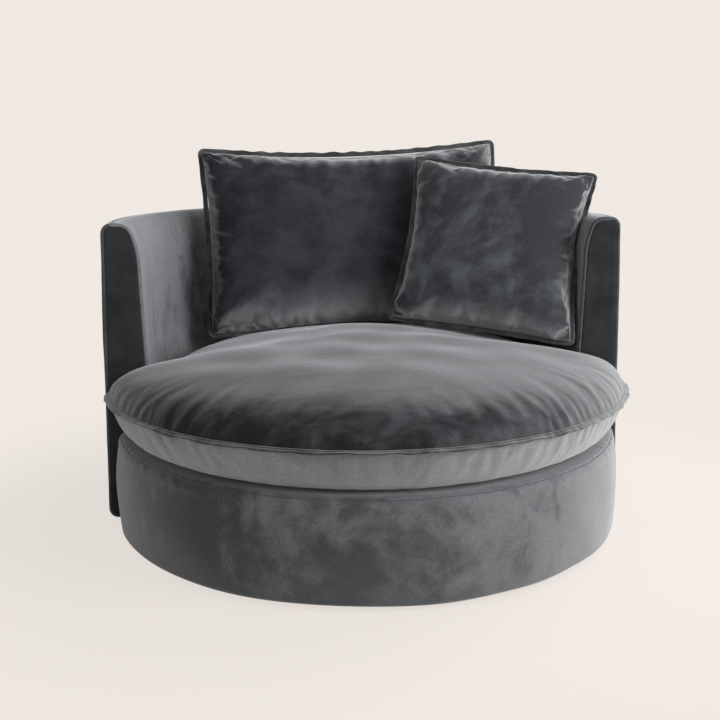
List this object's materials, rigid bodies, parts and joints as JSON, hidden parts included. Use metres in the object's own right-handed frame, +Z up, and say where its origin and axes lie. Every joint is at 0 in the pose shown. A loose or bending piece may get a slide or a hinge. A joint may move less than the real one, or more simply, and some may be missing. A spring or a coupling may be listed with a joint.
{
  "type": "cuddle chair",
  "caption": "Round swivel cuddle chair in charcoal velvet: drum base, tub shell of arms and back, T-shaped seat cushion, back cushion and scatter cushion.",
  "frame": {"origin": "on the swivel axis at the floor", "axes": "+Z up, the open front looks along -Y, +X to the right as seen from the front"},
  "size_m": [1.2956, 1.296, 0.9264],
  "materials": {
    "velvet": "charcoal velvet with a soft nap",
    "foam": "cream polyurethane foam",
    "fibre": "white polyester fibre",
    "felt": "grey needled felt",
    "dust_cloth": "black non-woven cloth",
    "webbing": "black elastic webbing",
    "plywood": "birch plywood",
    "timber": "planed beech",
    "hardboard": "brown hardboard",
    "steel": "zinc plated",
    "ball_steel": "ground and polished",
    "nylon": "natural nylon",
    "zip": "black coil zip on woven tape"
  },
  "bodies": {
    "floor_base": {"plinth_glides": "felt", "plinth_board": "plywood", "swivel_lower_plate": "steel", "lower_plate_screws": "steel"},
    "ball_ring": {"bearing_cage": "nylon", "bearing_balls": "ball_steel"},
    "chair": {"swivel_upper_plate": "steel", "upper_plate_screws": "steel", "base_bottom_board": "plywood", "base_blocks": "timber", "base_deck_ring": "plywood", "base_hoop_panel": "plywood", "dust_cover": "dust_cloth", "back_frame_bolts": "steel", "deck_webbing_lengthwise": "webbing", "deck_webbing_crosswise": "webbing", "deck_pad": "felt", "deck_cover": "dust_cloth", "base_front_foam": "foam", "base_edge_foam": "foam", "base_side_cover": "velvet", "base_top_cover": "velvet", "back_bottom_rail": "plywood", "back_posts": "timber", "back_top_rail": "plywood", "back_inner_panel": "hardboard", "back_outer_panel": "hardboard", "inside_back_foam": "foam", "top_roll_foam": "foam", "outside_wadding": "foam", "inside_back_cover": "velvet", "outside_back_cover": "velvet", "left_arm_front_board": "plywood", "right_arm_front_board": "plywood", "left_arm_front_pad": "foam", "right_arm_front_pad": "foam", "left_arm_front_cover": "velvet", "right_arm_front_cover": "velvet"},
    "seat_cushion": {"seat_foam_core": "foam", "seat_fibre_wrap": "fibre", "seat_top_panel": "velvet", "seat_bottom_panel": "velvet", "seat_piping": "velvet", "seat_zip": "zip"},
    "back_cushion": {"back_cushion_pad": "fibre", "back_cushion_front_panel": "velvet", "back_cushion_rear_panel": "velvet", "back_cushion_piping": "velvet", "back_cushion_zip": "zip"},
    "scatter_cushion": {"scatter_pad": "fibre", "scatter_front_panel": "velvet", "scatter_rear_panel": "velvet", "scatter_piping": "velvet", "scatter_zip": "zip"}
  },
  "joints": [
    {"name": "swivel", "type": "hinge", "parent": "floor_base", "child": "chair", "pos_m": [0, 0, 0.031], "axis": [0, 0, 1], "continuous": true},
    {"name": "ball_ring_roll", "type": "hinge", "parent": "floor_base", "child": "ball_ring", "pos_m": [0, 0, 0.031], "axis": [0, 0, 1], "continuous": true},
    {"name": "seat_lift", "type": "slide", "parent": "chair", "child": "seat_cushion", "axis": [0, 0, 1], "range_m": [0, 0.35]},
    {"name": "back_lift", "type": "slide", "parent": "seat_cushion", "child": "back_cushion", "axis": [0, 0, 1], "range_m": [0, 0.35]},
    {"name": "scatter_lift", "type": "slide", "parent": "back_cushion", "child": "scatter_cushion", "axis": [0, 0, 1], "range_m": [0, 0.35]}
  ],
  "couplings": [
    {"joint": "ball_ring_roll", "follows": "swivel", "ratio": 0.5}
  ]
}
